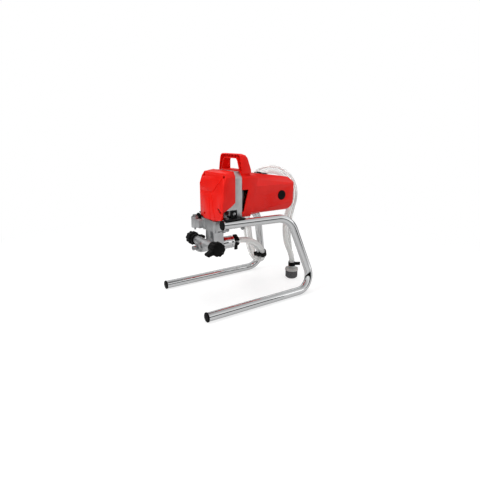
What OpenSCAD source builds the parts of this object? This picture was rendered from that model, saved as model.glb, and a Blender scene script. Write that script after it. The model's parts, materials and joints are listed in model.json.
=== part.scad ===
// Airless paint sprayer: a geared piston pump and its motor in a red housing, carried by a
// bent tube stand, with a suction hose and strainer.  Millimetres, +Z up, front towards -Y.
// Modules draw in the machine frame: X = 0 is the middle plane, Y = 0 the pump's axis and
// Z = 0 the floor.  The whole machine is then moved so that its origin is centred below it.

/* [Stand] */
// Outer diameter of the stand tubes
tube_d = 25; // [20:1:28]
// Wall of the stand tubes
tube_wall = 1.5; // [1:0.5:3]
// Distance of each floor tube from the middle plane
skid_x = 137.5; // [115:0.5:165]
// How far the floor tubes reach in front of the pump's axis
skid_front = 105; // [90:1:140]
// How far behind the pump's axis the floor tubes would meet the risers
skid_rear = 285; // [280:1:330]
// Distance of each riser's top from the middle plane
riser_x = 86; // [80:1:100]
// How far behind the pump's axis the risers would meet the upper tubes
riser_rear = 217; // [205:1:225]
// Distance of each upper tube's front end from the middle plane
carry_x = 70.5; // [69:0.5:78]
// How far the upper tubes reach in front of the pump's axis
carry_front = 14; // [10:1:15]
// Height of the upper tubes' centre lines
carry_z = 239; // [236:0.5:242]
// Bend radius at the floor, at the tube's centre line
floor_bend_r = 50; // [40:1:60]
// Bend radius at the top, at the tube's centre line
top_bend_r = 60; // [45:1:70]
// Diameter of the end caps' rims
end_cap_d = 27.5; // [25:0.5:31]
// Diameter of the bolts through the upper tubes
stand_bolt_d = 6; // [4:0.5:8]

/* [Housing] */
// Half width of the gear case
body_half_w = 64; // [63:0.5:68]
// Height of the gear case's top
body_top = 383; // [380:1:392]
// Length of the gear case that shows between the covers
band_w = 24; // [22:1:30]
// Wall of the moulded covers
shell_wall = 2.5; // [2:0.25:3]
// Wall of the aluminium gear case
case_wall = 5; // [4:0.5:6]
// How far the motor cover's rear face lies behind the pump's axis
cover_tail = 270; // [262:1:276]
// Height of the carrying handle's top
handle_top = 431; // [426:1:440]
// Thickness of the handle's grip bar
handle_bar = 13; // [11:1:16]
// Width of the handle's legs across the machine
handle_leg = 25; // [20:1:28]

/* [Drive] */
// Height of the motor's axis
motor_z = 306; // [305.5:0.25:306.5]
// Height of the crankshaft's axis
crank_z = 330; // [329.5:0.25:331]
// Teeth of the motor's pinion
pinion_teeth = 12; // [11:1:13]
// Teeth of the wheel that the motor's pinion drives
wheel_teeth = 42; // [40:1:43]
// Module of the first pair of gears
first_module = 1; // [0.95:0.05:1]
// Teeth of the second pinion
second_teeth = 14; // [13:1:15]
// Teeth of the crank wheel
crank_teeth = 56; // [54:1:57]
// Module of the second pair of gears
second_module = 1.25; // [1.2:0.05:1.25]
// Play between the teeth's flanks, on each gear
tooth_play = 0.1; // [0.06:0.02:0.16]
// Stroke of the pump's piston
stroke = 12; // [8:1:14]
// Length of the connecting rod between its bores
rod_l = 46; // [44:1:48]
// Diameter of the crank pin
crank_pin_d = 9; // [8:0.5:11]
// Diameter of the wrist pin
wrist_pin_d = 8; // [6:0.5:9]
// Diameter of the motor's shaft
shaft_d = 12; // [10:1:14]
// Radius of the armature's core
core_r = 22; // [18:1:23]
// Running clearance of shafts and slides, on the radius
run_gap = 0.05; // [0.02:0.01:0.1]

/* [Pump] */
// Diameter of the pump's piston rod
piston_d = 14; // [12:1:16]
// Half width of the pump's column
column_half_w = 24; // [22:1:28]
// Height of the inlet's and outlet's common axis
valve_z = 166; // [164:1:168]
// Height of the valve spindles' axis
cross_z = 175; // [173:1:177]
// How far the valve spindles lie in front of the pump's axis
cross_front = 35; // [33:1:37]
// Distance of the knobs' inner faces from the middle plane
knob_inner_x = 63; // [60:1:68]
// Diameter of the knobs
knob_d = 41; // [38:1:46]
// Thickness of the knobs
knob_t = 23; // [18:1:26]
// Length of each knob's lever from its axis
knob_lever = 38; // [32:1:42]
// Diameter of the outlet's thread
outlet_d = 13.2; // [12:0.1:16]
// Length of the outlet's thread
outlet_thread_l = 14; // [10:1:18]
// Diameter of the inlet's housing
inlet_d = 38; // [34:1:42]
// Length of the inlet's housing
inlet_l = 44; // [42:1:46]
// Diameter of the valve balls
ball_d = 11; // [10:0.5:12]
// How far a valve ball lifts
ball_lift = 1.5; // [1:0.1:2]

/* [Hoses] */
// Outer diameter of the suction hose
hose_d = 18; // [16:0.5:19]
// Outer diameter of the return hose
return_d = 9; // [8:0.5:9.5]
// Diameter of the strainer's rim
strainer_d = 45; // [38:1:48]
// Height of the strainer's bowl
strainer_h = 27; // [26:1:30]

/* [Hidden] */
$fn = 48;
RED = [0.84, 0.11, 0.09];
ALU = [0.74, 0.75, 0.76];
STEEL = [0.62, 0.63, 0.65];
CHROME = [0.86, 0.87, 0.88];
BLACK = [0.06, 0.06, 0.06];
COPPER = [0.72, 0.42, 0.22];
CLEAR = [0.88, 0.89, 0.88];
fit = 0.05;

function unit(v) = v / norm(v);

// The stand's corner points, on its tubes' centre lines.  Each floor tube falls from its end
// cap's rim to its own radius at the rear bend, so that the stand rests on caps and bends.
tube_r = tube_d / 2;
cap_rim_t = 4;
cap_r = end_cap_d / 2;
level_rise = unit([riser_x - skid_x, riser_rear - skid_rear, carry_z - tube_r]);
floor_turn = acos(level_rise[1]);
floor_back = floor_bend_r * tan(floor_turn / 2);
fall = (cap_r - tube_r) / (skid_front + skid_rear - floor_back);
skid_end = [skid_x, -skid_front, cap_r];
floor_corner = [skid_x, skid_rear, tube_r - fall * floor_back];
top_corner = [riser_x, riser_rear, carry_z];
carry_end = [carry_x, -carry_front, carry_z];
along_skid = unit(floor_corner - skid_end);
along_riser = unit(top_corner - floor_corner);
along_carry = unit(carry_end - top_corner);
rear_reach = skid_rear - floor_back + floor_bend_r + tube_r;
datum_y = (skid_front + cap_rim_t - rear_reach) / 2;
function carry_at(y) = carry_x + (riser_x - carry_x) * (y + carry_front) / (riser_rear + carry_front);

// Levels and stations of the body
plate_z = carry_z + tube_r;
plate_t = 3;
body_low = plate_z + plate_t;
joint_z = plate_z - 8;
case_low = body_low + 3.5;
case_floor = case_low + 8;
spigot_y = 14;
cover_y = 31;
case_rear = cover_y + band_w;
wall_y = case_rear - 6;
recess_top = 277;

// Gear train: the second axis lies where both centre distances meet
first_distance = first_module * (pinion_teeth + wheel_teeth) / 2;
second_distance = second_module * (second_teeth + crank_teeth) / 2;
axis_gap = crank_z - motor_z;
second_up = (first_distance * first_distance - second_distance * second_distance
    + axis_gap * axis_gap) / (2 * axis_gap);
second_x = sqrt(first_distance * first_distance - second_up * second_up);
second_z = motor_z + second_up;
first_angle = atan2(second_up, second_x);
second_angle = atan2(crank_z - second_z, -second_x);

// Crank train at the bottom of its stroke
throw = stroke / 2;
pin_z = crank_z - throw;
wrist_z = pin_z - rod_l;
guide_r = 15;
tower_r = 22;
tower_top = 296;
guide_front = -8;
piston_r = piston_d / 2;

// Control points of the hoses' centre lines; each curve starts at the second and ends at the
// last but one, and runs straight there because three points lie in line
suction_route = [
    [0, 44, 166], [0, 80, 166], [0, 116, 166], [8, 160, 144], [3, 182, 107], [-21, 194, 79],
    [-56, 203, 66], [-92, 211, 72], [-119, 221, 93], [-138, 225, 128], [-140, 221, 171],
    [-137, 213, 210], [-137, 207, 248], [-141, 210, 287], [-140, 225, 323], [-128, 249, 351],
    [-102, 274, 366], [-71, 298, 363], [-43, 315, 342], [-25, 321, 308], [-21, 317, 270],
    [-27, 307, 232], [-29, 299, 194], [-24, 295, 155], [-14, 294, 118], [8, 303, 80],
    [8, 303, 44], [8, 303, 8]];
return_route = [
    [-43, -34, 164], [-43, -2, 164], [-43, 30, 164], [-40, 78, 164], [-22, 122, 160],
    [-8, 154, 138], [-4, 168, 112], [-18, 178, 86], [-55, 187, 68], [-92, 196, 76],
    [-123, 206, 97], [-145, 211, 129], [-149, 208, 168], [-147, 202, 205], [-146, 195, 243],
    [-151, 197, 281], [-151, 209, 318],
    [-142, 229, 350], [-122, 254, 373], [-94, 279, 382], [-64, 303, 376], [-36, 321, 354],
    [-17, 330, 321], [-10, 330, 283], [-15, 322, 246], [-20, 315, 209], [-21, 311, 170],
    [-16, 310, 133], [-6, 312, 84], [-6, 312, 48], [-6, 312, 12]];

// ---- Shared shapes -------------------------------------------------------------------------

module place() {
    translate([0, datum_y, 0]) children();
}

module both() {
    children();
    mirror([1, 0, 0]) children();
}

// Extrudes an X-Z outline from y0 to y1
module along_y(y0, y1) {
    translate([0, y1, 0]) rotate([90, 0, 0]) linear_extrude(y1 - y0) children();
}

// Extrudes a Y-Z outline from x0 to x1
module along_x(x0, x1) {
    translate([x0, 0, 0]) rotate([90, 0, 90]) linear_extrude(x1 - x0) children();
}

module block(a, b) {
    translate(a) cube(b - a);
}

module x_rod(r, x0, x1, y, z) {
    translate([x0, y, z]) rotate([0, 90, 0]) cylinder(r = r, h = x1 - x0);
}

module y_rod(r, y0, y1, x, z) {
    translate([x, y1, z]) rotate([90, 0, 0]) cylinder(r = r, h = y1 - y0);
}

module z_rod(r, z0, z1, x, y) {
    translate([x, y, z0]) cylinder(r = r, h = z1 - z0);
}

// Moves each side of a closed outline inwards by t
function inset(p, t) = let (n = len(p)) [for (i = [0 : n - 1])
    let (u = unit(p[i] - p[(i + n - 1) % n]), v = unit(p[(i + 1) % n] - p[i]),
        m = [-u[1], u[0]], k = [-v[1], v[0]])
    p[i] + t * (m + k) / (1 + m * k)];

// Mirrors the right half of an outline, listed upwards, into a closed outline
function mirrored(p) = concat(p, [for (i = [len(p) - 1 : -1 : 0]) [-p[i][0], p[i][1]]]);

module limb(a, b, r) {
    d = unit(b - a);
    translate(a) rotate([0, acos(d[2]), atan2(d[1], d[0])]) cylinder(r = r, h = norm(b - a));
}

module pipe(a, b) {
    d = unit(b - a);
    translate(a) rotate([0, acos(d[2]), atan2(d[1], d[0])]) linear_extrude(norm(b - a)) difference() {
        circle(r = tube_r);
        circle(r = tube_r - tube_wall);
    }
}

// A bend between two straight runs with directions u and v whose centre lines meet at p
module hollow_elbow(p, u, v, bend) {
    turn = acos(u * v);
    w = unit(v - (u * v) * u);
    n = cross(u, w);
    c = p - u * bend * tan(turn / 2) + w * bend;
    multmatrix([[-w[0], u[0], n[0], c[0]], [-w[1], u[1], n[1], c[1]], [-w[2], u[2], n[2], c[2]],
        [0, 0, 0, 1]])
        rotate_extrude(angle = turn) translate([bend, 0]) difference() {
            circle(r = tube_r + 0.04);
            circle(r = tube_r - tube_wall - 0.04);
        }
}

// A bent tube: hollow runs that lap a little way into bends with a hair's thicker wall
lap = 0.4;
module tube_run() {
    low = floor_bend_r * tan(acos(along_skid * along_riser) / 2);
    high = top_bend_r * tan(acos(along_riser * along_carry) / 2);
    pipe(skid_end, floor_corner - along_skid * (low - lap));
    hollow_elbow(floor_corner, along_skid, along_riser, floor_bend_r);
    pipe(floor_corner + along_riser * (low - lap), top_corner - along_riser * (high - lap));
    hollow_elbow(top_corner, along_riser, along_carry, top_bend_r);
    difference() {
        pipe(top_corner + along_carry * (high - lap), carry_end);
        for (y = [bolt_front, bolt_rear])
            z_rod(stand_bolt_d / 2 + 0.2, carry_z - 20, carry_z + 20, carry_at(y), y);
    }
}

// One flank to flank outline of an involute gear with z teeth
function flank(z, m, tip, rho) = let (base = z * m / 2 * cos(20), a = acos(min(1, base / rho)))
    90 / z - tooth_play * 180 / (PI * z * m / 2) + (tan(20) - tan(a)) * 180 / PI - 20 + a;
function gear_outline(z, m, top, root, turn) = let (base = z * m / 2 * cos(20),
    tip = z * m / 2 + top * m, low = z * m / 2 - root * m, first = max(base, low),
    steps = [first, first + (tip - first) * 0.25, first + (tip - first) * 0.6, tip])
    [for (i = [0 : z - 1], j = [0 : 9]) let (side = j < 5 ? -1 : 1,
        k = j < 5 ? j : 9 - j, rho = k == 0 ? low : steps[k - 1],
        at = turn + i * 360 / z + side * flank(z, m, tip, max(rho, first)))
        rho * [cos(at), sin(at)]];

// A smooth curve along control points, and a round tube swept along it
function curve_at(p, i, t) = (pow(1 - t, 3) * p[i] + (3 * pow(t, 3) - 6 * t * t + 4) * p[i + 1]
    + (-3 * pow(t, 3) + 3 * t * t + 3 * t + 1) * p[i + 2] + pow(t, 3) * p[i + 3]) / 6;
function slope_at(p, i, t) = unit((-pow(1 - t, 2) * p[i] + (3 * t * t - 4 * t) * p[i + 1]
    + (-3 * t * t + 2 * t + 1) * p[i + 2] + t * t * p[i + 3]) / 2);
function stations(p) = concat([for (i = [0 : len(p) - 4], t = [0, 0.5]) [i, t]], [[len(p) - 4, 1]]);
function carried(n, s) = unit(n - (n * s) * s);
module swept_tube(p, d, sides) {
    at = stations(p);
    line = [for (q = at) curve_at(p, q[0], q[1])];
    slope = [for (q = at) slope_at(p, q[0], q[1])];
    side = [for (i = 0, n = carried([1, 0, 0], slope[0]); i < len(at);
        i = i + 1, n = i < len(at) ? carried(n, slope[i]) : n) n];
    last = len(at) - 1;
    points = [for (i = [0 : last], j = [0 : sides - 1]) let (a = j * 360 / sides)
        line[i] + d / 2 * (cos(a) * side[i] + sin(a) * cross(slope[i], side[i]))];
    walls = [for (i = [0 : last - 1], j = [0 : sides - 1]) let (k = (j + 1) % sides,
        a = i * sides + j, b = i * sides + k, c = b + sides, e = a + sides)
        each [[a, c, b], [a, e, c]]];
    ends = [[for (j = [0 : sides - 1]) j], [for (j = [sides - 1 : -1 : 0]) last * sides + j]];
    polyhedron(points = points, faces = concat(walls, ends));
}

// ---- Stand ---------------------------------------------------------------------------------

bolt_front = 0;
bolt_rear = 50;

module stand_tube_right() {
    color(CHROME) place() tube_run();
}

module stand_tube_left() {
    color(CHROME) place() mirror([1, 0, 0]) tube_run();
}

// A plug whose rim stands on the tube's end and whose stem goes into its bore
module end_plug(at, out, stem) {
    limb(at, at + out * (cap_rim_t - 1), cap_r);
    limb(at + out * (cap_rim_t - 1.2), at + out * cap_rim_t, cap_r - 1.2);
    limb(at - out * stem, at, tube_r - tube_wall - fit);
}

module end_caps() {
    color(BLACK) place() both() {
        end_plug(skid_end, -along_skid, 18);
        end_plug(carry_end, along_carry, carry_front - stand_bolt_d / 2 - 2);
    }
}

case_side = body_half_w - 8;
upright_y = 20;
upright_top = recess_top - 1;
foot_y = 38;

module base_bracket() {
    color(BLACK) place() difference() {
        union() {
            block([-82, -7.5, plate_z], [82, case_rear + 1, plate_z + plate_t]);
            both() block([case_side + 0.3, upright_y, plate_z], [case_side + 3.3, foot_y - 0.4, upright_top]);
        }
        block([-44, -9, plate_z - 1], [44, 24.2, plate_z + plate_t + 1]);
        both() for (y = [bolt_front, bolt_rear])
            z_rod(stand_bolt_d / 2 + 0.2, plate_z - 1, plate_z + plate_t + 1, carry_at(y), y);
        both() x_rod(3.1, case_side, case_side + 4, 29, case_low + 7);
    }
}

module frame_bolts() {
    color(STEEL) place() both() {
        for (y = [bolt_front, bolt_rear]) {
            z_rod(stand_bolt_d / 2, carry_z - tube_r - 7, body_low, carry_at(y), y);
            translate([carry_at(y), y, body_low]) cylinder(r = stand_bolt_d * 0.95, h = 4, $fn = 6);
            translate([carry_at(y), y, carry_z - tube_r - 5])
                cylinder(r = stand_bolt_d * 0.95, h = 5, $fn = 6);
        }
        x_rod(2.95, case_side - 9, case_side + 4, 29, case_low + 7);
        translate([case_side + 3.3, 29, case_low + 7]) rotate([0, 90, 0]) cylinder(r = 5.5, h = 4, $fn = 6);
    }
}

// ---- Gear case -----------------------------------------------------------------------------

case_outline = mirrored([[body_half_w, case_low], [body_half_w, body_top - 18],
    [body_half_w - 12, body_top]]);
cavity = inset(case_outline, 3 + case_wall);
screw_x = body_half_w - 11;
screw_z = body_top - 18;
front_screw_x = body_half_w - 7;
front_screw_z = body_top - 13.5;
low_screw_x = -22;
low_screw_z = body_low + 6;

module side_foot() {
    along_x(case_side, body_half_w) polygon([[foot_y, body_low], [case_rear, body_low],
        [case_rear, body_top - 18], [cover_y, body_top - 18], [cover_y, 297], [4, 280],
        [4, recess_top], [foot_y, recess_top]]);
}

module gear_housing() {
    color(ALU) place() difference() {
        union() {
            difference() {
                union() {
                    along_y(cover_y, case_rear) polygon(case_outline);
                    along_y(spigot_y, cover_y) polygon(inset(case_outline, 3));
                }
                along_y(spigot_y - 1, wall_y) polygon(cavity);
                both() block([case_side, 0, 200], [body_half_w + 5, foot_y, recess_top]);
            }
            both() side_foot();
            both() y_rod(4.2, spigot_y, cover_y, front_screw_x, front_screw_z);
            both() block([case_side - 12, plate_y + 6.3, case_low], [case_side, foot_y - 0.4, case_low + 16]);
            // seats of the shafts in the rear wall
            y_rod(16, wall_y - 7, wall_y + 1, 0, crank_z);
            y_rod(8, wall_y - 1.7, wall_y + 1, second_x, second_z);
            // guide of the crosshead and the flange that carries the pump
            intersection() {
                z_rod(tower_r, joint_z, tower_top, 0, 0);
                block([-30, guide_front, joint_z - 1], [30, 30, tower_top + 1]);
            }
            block([-35, -7.5, joint_z], [35, 20, joint_z + 12]);
            block([-35, 12, joint_z + 6], [35, 20, case_floor]);
            block([-12, 8, joint_z + 10], [12, 23.5, tower_top - 4]);
            y_rod(5.5, guide_front, 8, low_screw_x, low_screw_z);
        }
        z_rod(guide_r + run_gap, joint_z - 1, tower_top + 1, 0, 0);
        y_rod(pinion_teeth * first_module / 2 + first_module + 0.6, wall_y - 1, case_rear + 1, 0, motor_z);
        y_rod(13, wall_y - 8, wall_y, 0, crank_z);
        y_rod(6.6, wall_y - 1, wall_y + 1.5, 0, crank_z);
        y_rod(4 + fit, wall_y - 4, wall_y + 4, second_x, second_z);
        both() y_rod(2 + fit, spigot_y - 1, 28, front_screw_x, front_screw_z);
        y_rod(2 + fit, -9, 7, low_screw_x, low_screw_z);
        both() x_rod(3, case_side - 10, case_side + 1, 29, case_low + 7);
        for (x = [-29, 29], y = [14.5]) z_rod(3 + fit, joint_z - 1, joint_z + 10, x, y);
        for (x = [-29, 29]) z_rod(3 + fit, joint_z - 1, joint_z + 9, x, -1);
    }
}

plate_y = 16;
module bearing_plate() {
    color(ALU) place() difference() {
        union() {
            along_y(plate_y, plate_y + 6) polygon(cavity);
            y_rod(7, plate_y + 5, plate_y + 7.7, second_x, second_z);
        }
        y_rod(15, plate_y - 1, plate_y + 7, 0, crank_z);
        y_rod(4 + fit, plate_y + 1, plate_y + 9, second_x, second_z);
        block([-15.8, plate_y - 1, case_low], [15.8, plate_y + 7, tower_top + 1]);
        both() y_rod(4.6, plate_y - 1, plate_y + 7, front_screw_x, front_screw_z);
    }
}

// ---- Front cover ---------------------------------------------------------------------------

cover_front_y = -18.5;
cover_side = [[cover_front_y, 240], [-8, 240], [-8, 273], [4, 279.4], [14, 285.4], [cover_y, 298],
    [cover_y, body_top + 1.5], [2, body_top - 3.5], [0.3, body_top - 11], [-15.5, 326],
    [cover_front_y, 258]];
cover_front = mirrored([[28, joint_z + 1.6], [body_half_w - 4, joint_z + 6.5],
    [body_half_w - 0.5, joint_z + 12.5], [body_half_w + 5.8, 325], [body_half_w + 5.8, body_top - 17],
    [body_half_w - 8, body_top + 1.5]]);
cover_plan = [[-body_half_w - 2, 40], [-body_half_w - 2, cover_y], [-body_half_w - 5.8, -9],
    [-body_half_w + 2, -13], [-20, cover_front_y], [20, cover_front_y], [body_half_w - 2, -13],
    [body_half_w + 5.8, -9], [body_half_w + 2, cover_y], [body_half_w + 2, 40]];

module cover_form() {
    intersection() {
        along_x(-80, 80) polygon(cover_side);
        along_y(-30, 40) polygon(cover_front);
        translate([0, 0, 200]) linear_extrude(200) polygon(cover_plan);
    }
}

module cover_room() {
    t = shell_wall;
    intersection() {
        along_x(-80, 80) polygon([[cover_front_y + t, 230], [60, 230], [60, body_top + 1.5 - t],
            [cover_y, body_top + 1.5 - t], [2 + 0.9 * t, body_top - 3.5 - t],
            [0.3 + 1.05 * t, body_top - 11], [-15.5 + 1.05 * t, 326], [cover_front_y + t, 258]]);
        along_y(-30, 60) polygon(concat([[-28, 230], [28, 230]], inset(cover_front, t)));
        translate([0, 0, 200]) linear_extrude(200) polygon(inset(cover_plan, t));
    }
}

// The part of an outline that lies within a depth of the cover's front skin
module cover_skin(depth) {
    difference() {
        along_y(-30, 12) children();
        translate([0, depth, 0]) cover_form();
    }
}

// Part of the cover's front raised by a step
module raised(step) {
    intersection() {
        translate([0, -step, 0]) cover_form();
        along_y(-40, 5) children();
        along_y(-40, 5) polygon(inset(cover_front, 1));
    }
}

module front_cover() {
    color(RED) place() difference() {
        union() {
            difference() {
                union() {
                    cover_form();
                    raised(1.2) polygon([[-40, 313], [-36, 240], [37, 240], [12, 319.5]]);
                    raised(2.2) polygon([[-31, 309], [-27, 240], [13, 240], [1, 310.5]]);
                }
                cover_room();
                // clears the gear case's spigot and its side feet
                along_y(spigot_y - 0.3, cover_y + 1) polygon(inset(case_outline, 2.7));
                both() block([case_side, 3.7, 270], [body_half_w + 0.3, cover_y + 1, 300]);
                cover_skin(1.3) polygon([[50, 367], [52.5, 365.5], [19.5, 325], [17, 326]]);
                cover_skin(1.2) polygon([[-60, 324], [-60, 326], [13.5, 329], [14.5, 327], [0, 324]]);
            }
            both() y_rod(6, 2, spigot_y, front_screw_x, front_screw_z);
            y_rod(5.5, -17, guide_front, low_screw_x, low_screw_z);
        }
        both() y_rod(2.3, -20, spigot_y + 1, front_screw_x, front_screw_z);
        both() y_rod(4.4, -20, 6.5, front_screw_x, front_screw_z);
        y_rod(2.3, -22, 0, low_screw_x, low_screw_z);
        y_rod(4.4, -22, -13, low_screw_x, low_screw_z);
        along_y(-22, -8.5) polygon([[43, 284], [54, 270], [62, 271], [50, 283]]);
    }
}

module cover_screws() {
    color(BLACK) place() {
        both() {
            y_rod(2, 3.5, 26, front_screw_x, front_screw_z);
            y_rod(3.9, 3, 6.5, front_screw_x, front_screw_z);
        }
        y_rod(2, -14, 5, low_screw_x, low_screw_z);
        y_rod(3.9, -16.5, -13, low_screw_x, low_screw_z);
    }
}

// ---- Rear housing and handle ---------------------------------------------------------------

shoulder_side = [[case_rear, body_low], [case_rear + 29, body_low], [case_rear + 53, body_top - 25],
    [case_rear + 53, body_top - 12], [case_rear + 31, body_top - 12], [case_rear + 31, body_top],
    [case_rear, body_top]];
shoulder_front = mirrored([[body_half_w + 1, body_low], [body_half_w + 1, body_top - 18],
    [body_half_w - 11, body_top]]);
tail_low = motor_z - 46.5;
tail_side = [[case_rear, body_low], [case_rear + 33, body_low + 1], [case_rear + 70, tail_low],
    [cover_tail - 19, tail_low], [cover_tail - 10.5, 274], [cover_tail - 8.4, 292],
    [cover_tail - 2, 309], [cover_tail, 335.5], [cover_tail - 12.5, 348], [cover_tail - 30, 358],
    [cover_tail - 70, 364], [cover_tail - 113, 368.5], [cover_tail - 130, 371.5], [case_rear, 371.5]];
tail_front = mirrored([[48, body_low - 5], [body_half_w - 2, body_low + 9.5],
    [body_half_w - 2, 337.5], [40, 360], [35, 371.5]]);
tail_plan = [[-62, 20], [62, 20], [62, cover_tail - 22], [40, cover_tail], [-40, cover_tail],
    [-62, cover_tail - 22]];
handle_side = [[case_rear + 0.5, body_top - 6], [case_rear + 32, body_top - 6],
    [case_rear + 31, body_top + 5], [case_rear + 23.5, handle_top - 11],
    [case_rear + 19, handle_top - 4], [case_rear + 11, handle_top], [case_rear + 2, handle_top],
    [case_rear + 0.5, handle_top - 2]];
handle_outer = mirrored([[body_half_w - 1, body_top - 20], [body_half_w - 1, body_top + 3],
    [body_half_w - 7.5, handle_top - 13], [body_half_w - 12, handle_top - 4],
    [body_half_w - 20, handle_top]]);
handle_hole = mirrored([[body_half_w - handle_leg + 8, body_top + 3],
    [body_half_w - handle_leg - 2, handle_top - handle_bar - 6],
    [body_half_w - handle_leg - 8, handle_top - handle_bar]]);
switch_y = 167.5;
switch_z = 367.4;
switch_tilt = -6;
brush_y = 202;
gland_y = 236;
gland_z = 284;

module tail_form(t) {
    intersection() {
        along_x(-80, 80) polygon(inset(tail_side, t));
        along_y(0, 300) polygon(inset(tail_front, t));
        translate([0, 0, 200]) linear_extrude(200) polygon(inset(tail_plan, t));
    }
}

module at_switch() {
    translate([0, switch_y, switch_z]) rotate([switch_tilt, 0, 0]) children();
}

module handle() {
    intersection() {
        along_x(-80, 80) polygon(handle_side);
        difference() {
            along_y(40, 100) polygon(handle_outer);
            along_y(30, 110) polygon(handle_hole);
            // hollow towards the front, crossed by ribs
            difference() {
                along_y(30, case_rear + 13.5) polygon(inset(handle_outer, 2.6));
                along_y(20, 110) polygon(inset(handle_hole, -2.6));
                both() for (z = [395, 409]) block([30, case_rear + 7, z], [70, 100, z + 2]);
                for (x = [-26, -9, 9, 26]) block([x - 1, case_rear + 11, 400], [x + 1, 100, 440]);
            }
        }
    }
}

module rear_housing() {
    color(RED) place() difference() {
        union() {
            difference() {
                union() {
                    intersection() {
                        along_x(-80, 80) polygon(shoulder_side);
                        along_y(0, 300) polygon(shoulder_front);
                    }
                    tail_form(0);
                }
                intersection() {
                    along_x(-80, 80) polygon([[0, body_low + shell_wall],
                        [case_rear + 27, body_low + shell_wall], [case_rear + 50.2, body_top - 26],
                        [case_rear + 50.2, body_top - 15], [case_rear + 28, body_top - 15],
                        [case_rear + 28, body_top - shell_wall], [0, body_top - shell_wall]]);
                    along_y(0, 300) polygon(inset(shoulder_front, shell_wall));
                }
                tail_form(shell_wall);
                // side openings in front of the motor's bell
                both() along_x(50, 80) polygon([[case_rear - 1, 270], [case_rear + 5, 270],
                    [case_rear + 22, 332], [case_rear - 1, 332]]);
            }
            handle();
            both() x_rod(17.5, body_half_w - 6, body_half_w - 2.4, brush_y, motor_z);
            // bosses on the case
            both() y_rod(5.5, case_rear, case_rear + 12, screw_x - 1, screw_z);
        }
        both() x_rod(14.6, body_half_w - 4.5, 90, brush_y, motor_z);
        both() x_rod(9.1, body_half_w - 8, 90, brush_y, motor_z);
        at_switch() block([-11.1, -15.1, -12], [11.1, 15.1, 12]);
        at_switch() block([-13.1, -17.1, 0.55], [13.1, 17.1, 12]);
        // stepped louvres across the tail and shallow ribs on its sides
        difference() {
            for (z = [286, 298, 310, 322]) block([-38, cover_tail - 20, z], [38, cover_tail + 4, z + 2.6]);
            translate([0, -1.4, 0]) tail_form(0);
        }
        both() for (i = [0 : 6]) block([body_half_w - 2.7, 136, 274 + i * 6],
            [body_half_w, 170 - i * 2, 276.2 + i * 6]);
        x_rod(8.1, -body_half_w - 4, -50, gland_y, gland_z);
        both() y_rod(2.1, case_rear - 1, case_rear + 9, screw_x - 1, screw_z);
    }
}

module cable_gland() {
    color(BLACK) place() difference() {
        union() {
            x_rod(8, -body_half_w - 1, -body_half_w + 8, gland_y, gland_z);
            x_rod(11, -body_half_w, -body_half_w + 2, gland_y, gland_z);
            x_rod(10.5, -body_half_w + 4.7, -body_half_w + 8, gland_y, gland_z);
            x_rod(6.5, -body_half_w - 12, -body_half_w - 1, gland_y, gland_z);
        }
        x_rod(3.6, -body_half_w - 13, -body_half_w + 9, gland_y, gland_z);
    }
}

module switch_body() {
    color(BLACK) place() at_switch() difference() {
        union() {
            block([-13, -17, 0.6], [13, 17, 2.8]);
            block([-11, -15, -13], [11, 15, 1]);
        }
        block([-9, -13, -9], [9, 13, 4]);
    }
}

module switch_rocker() {
    color(BLACK) place() at_switch() {
        along_x(-8.6, 8.6) polygon([[-11.2, 5.8], [-11.2, 1], [-3.5, -4], [3.5, -4], [11.2, 0],
            [11.2, 1.6], [0, 3.2]]);
        x_rod(2, -8.9, 8.9, 0, -2.6);
    }
}

// ---- Motor ---------------------------------------------------------------------------------

bell_r = 51;
stator_r = 43;
tie_at = 38.5 * sin(45);

module motor_end_bell() {
    color(ALU) place() intersection() {
        difference() {
            union() {
                y_rod(bell_r, case_rear, case_rear + 5, 0, motor_z);
                difference() {
                    y_rod(bell_r, case_rear, case_rear + 17, 0, motor_z);
                    y_rod(bell_r - 5, case_rear + 4, case_rear + 18, 0, motor_z);
                }
                y_rod(21, case_rear, case_rear + 13, 0, motor_z);
                for (s = [-1, 1]) y_rod(5, case_rear, case_rear + 12, s * tie_at, motor_z + s * tie_at);
            }
            y_rod(16 + fit, case_rear + 3, case_rear + 14, 0, motor_z);
            y_rod(8, case_rear - 1, case_rear + 4, 0, motor_z);
            for (s = [-1, 1]) y_rod(2 + fit, case_rear + 2, case_rear + 13, s * tie_at, motor_z + s * tie_at);
        }
        block([-70, 0, body_low + shell_wall + 0.3], [70, 200, 400]);
    }
}

module stator() {
    color(STEEL) place() difference() {
        union() {
            difference() {
                y_rod(stator_r, 95, 165, 0, motor_z);
                y_rod(34, 94, 166, 0, motor_z);
            }
            intersection() {
                union() {
                    block([-9, 95, motor_z - 38], [9, 165, motor_z + 38]);
                    block([-14, 95, motor_z - 26], [14, 165, motor_z + 26]);
                }
                y_rod(36, 95, 165, 0, motor_z);
            }
        }
        y_rod(core_r + 0.6, 94, 166, 0, motor_z);
        for (s = [-1, 1]) y_rod(2.2, 94, 166, s * tie_at, motor_z + s * tie_at);
    }
}

module field_coils() {
    color(COPPER) place() for (s = [-1, 1]) translate([0, 0, motor_z + s * 28.4]) difference() {
        block([-14, 88, -2], [14, 172, 2]);
        block([-9.1, 94.9, -3], [9.1, 165.1, 3]);
    }
}

module motor_ties() {
    color(STEEL) place() for (s = [-1, 1]) {
        y_rod(2, case_rear + 4, 236, s * tie_at, motor_z + s * tie_at);
        translate([s * tie_at, 233, motor_z + s * tie_at]) rotate([90, 0, 0])
            cylinder(r = 4, h = 3, $fn = 6);
    }
}

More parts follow.
